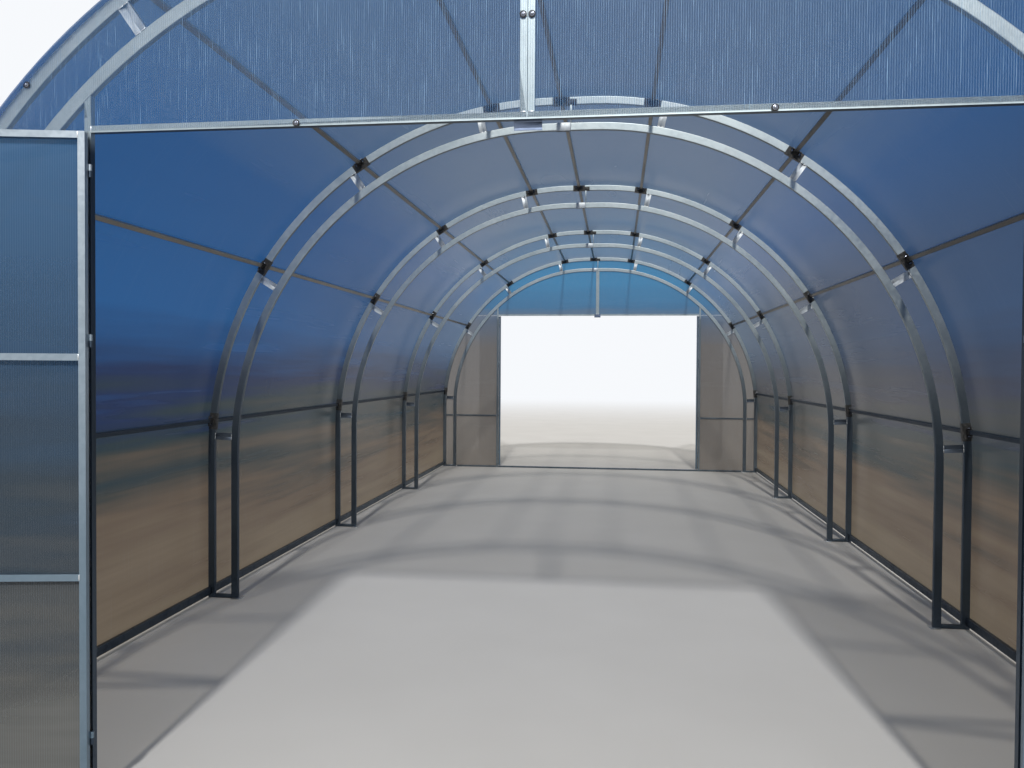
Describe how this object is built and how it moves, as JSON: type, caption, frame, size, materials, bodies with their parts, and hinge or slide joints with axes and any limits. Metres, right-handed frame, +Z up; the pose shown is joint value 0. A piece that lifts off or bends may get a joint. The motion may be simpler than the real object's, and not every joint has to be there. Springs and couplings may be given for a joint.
{
  "type": "polycarbonate tunnel greenhouse",
  "caption": "Arched tunnel greenhouse of double box-tube arches and purlins under clear twin-wall sheets, with a wide double door hinged open in each end wall.",
  "frame": {"origin": "centre of the front doorway's threshold, on the ground", "axes": "+X to the right of someone walking in, +Y down the tunnel from the front doorway to the rear one, +Z up"},
  "size_m": [5.0436, 9.8798, 2.706],
  "materials": {
    "galvanized_tube": "galvanized box tube, satin blue-grey",
    "clamp_steel": "dark stamped steel",
    "bright_plate": "zinc plated",
    "twin_wall_sheet": "clear twin-wall polycarbonate, faintly blue, with fine ribs along the cells"
  },
  "bodies": {
    "greenhouse": {"outer_arch_1": "galvanized_tube", "inner_arch_1": "galvanized_tube", "purlin_clamps_1": "clamp_steel", "outer_arch_2": "galvanized_tube", "inner_arch_2": "galvanized_tube", "purlin_clamps_2": "clamp_steel", "outer_arch_3": "galvanized_tube", "inner_arch_3": "galvanized_tube", "purlin_clamps_3": "clamp_steel", "outer_arch_4": "galvanized_tube", "inner_arch_4": "galvanized_tube", "purlin_clamps_4": "clamp_steel", "outer_arch_5": "galvanized_tube", "inner_arch_5": "galvanized_tube", "purlin_clamps_5": "clamp_steel", "purlins_lower": "galvanized_tube", "purlins_middle": "galvanized_tube", "purlins_upper": "galvanized_tube", "purlins_top": "galvanized_tube", "purlins_ridge": "galvanized_tube", "bottom_rails": "galvanized_tube", "roof_sheet_1": "twin_wall_sheet", "roof_sheet_2": "twin_wall_sheet", "roof_sheet_3": "twin_wall_sheet", "roof_sheet_4": "twin_wall_sheet", "front_door_frame": "galvanized_tube", "front_end_rails": "galvanized_tube", "front_door_stop": "bright_plate", "front_gable_sheets": "twin_wall_sheet", "front_side_sheets": "twin_wall_sheet", "front_hinges": "bright_plate", "rear_door_frame": "galvanized_tube", "rear_end_rails": "galvanized_tube", "rear_door_stop": "bright_plate", "rear_gable_sheets": "twin_wall_sheet", "rear_side_sheets": "twin_wall_sheet", "rear_hinges": "bright_plate"},
    "front_left_leaf": {"front_left_leaf_frame": "galvanized_tube", "front_left_leaf_sheet": "twin_wall_sheet"},
    "front_right_leaf": {"front_right_leaf_frame": "galvanized_tube", "front_right_leaf_sheet": "twin_wall_sheet"},
    "rear_left_leaf": {"rear_left_leaf_frame": "galvanized_tube", "rear_left_leaf_sheet": "twin_wall_sheet"},
    "rear_right_leaf": {"rear_right_leaf_frame": "galvanized_tube", "rear_right_leaf_sheet": "twin_wall_sheet"}
  },
  "joints": [
    {"name": "front_left_leaf_hinge", "type": "hinge", "parent": "greenhouse", "child": "front_left_leaf", "pos_m": [-1.2725, -0.018, 0], "axis": [0, 0, 1], "range_deg": [-5, 170]},
    {"name": "front_right_leaf_hinge", "type": "hinge", "parent": "greenhouse", "child": "front_right_leaf", "pos_m": [1.2725, -0.018, 0], "axis": [0, 0, -1], "range_deg": [-5, 170]},
    {"name": "rear_left_leaf_hinge", "type": "hinge", "parent": "greenhouse", "child": "rear_left_leaf", "pos_m": [-1.2725, 8.418, 0], "axis": [0, 0, -1], "range_deg": [-64, 111]},
    {"name": "rear_right_leaf_hinge", "type": "hinge", "parent": "greenhouse", "child": "rear_right_leaf", "pos_m": [1.2725, 8.418, 0], "axis": [0, 0, 1], "range_deg": [-64, 111]}
  ]
}
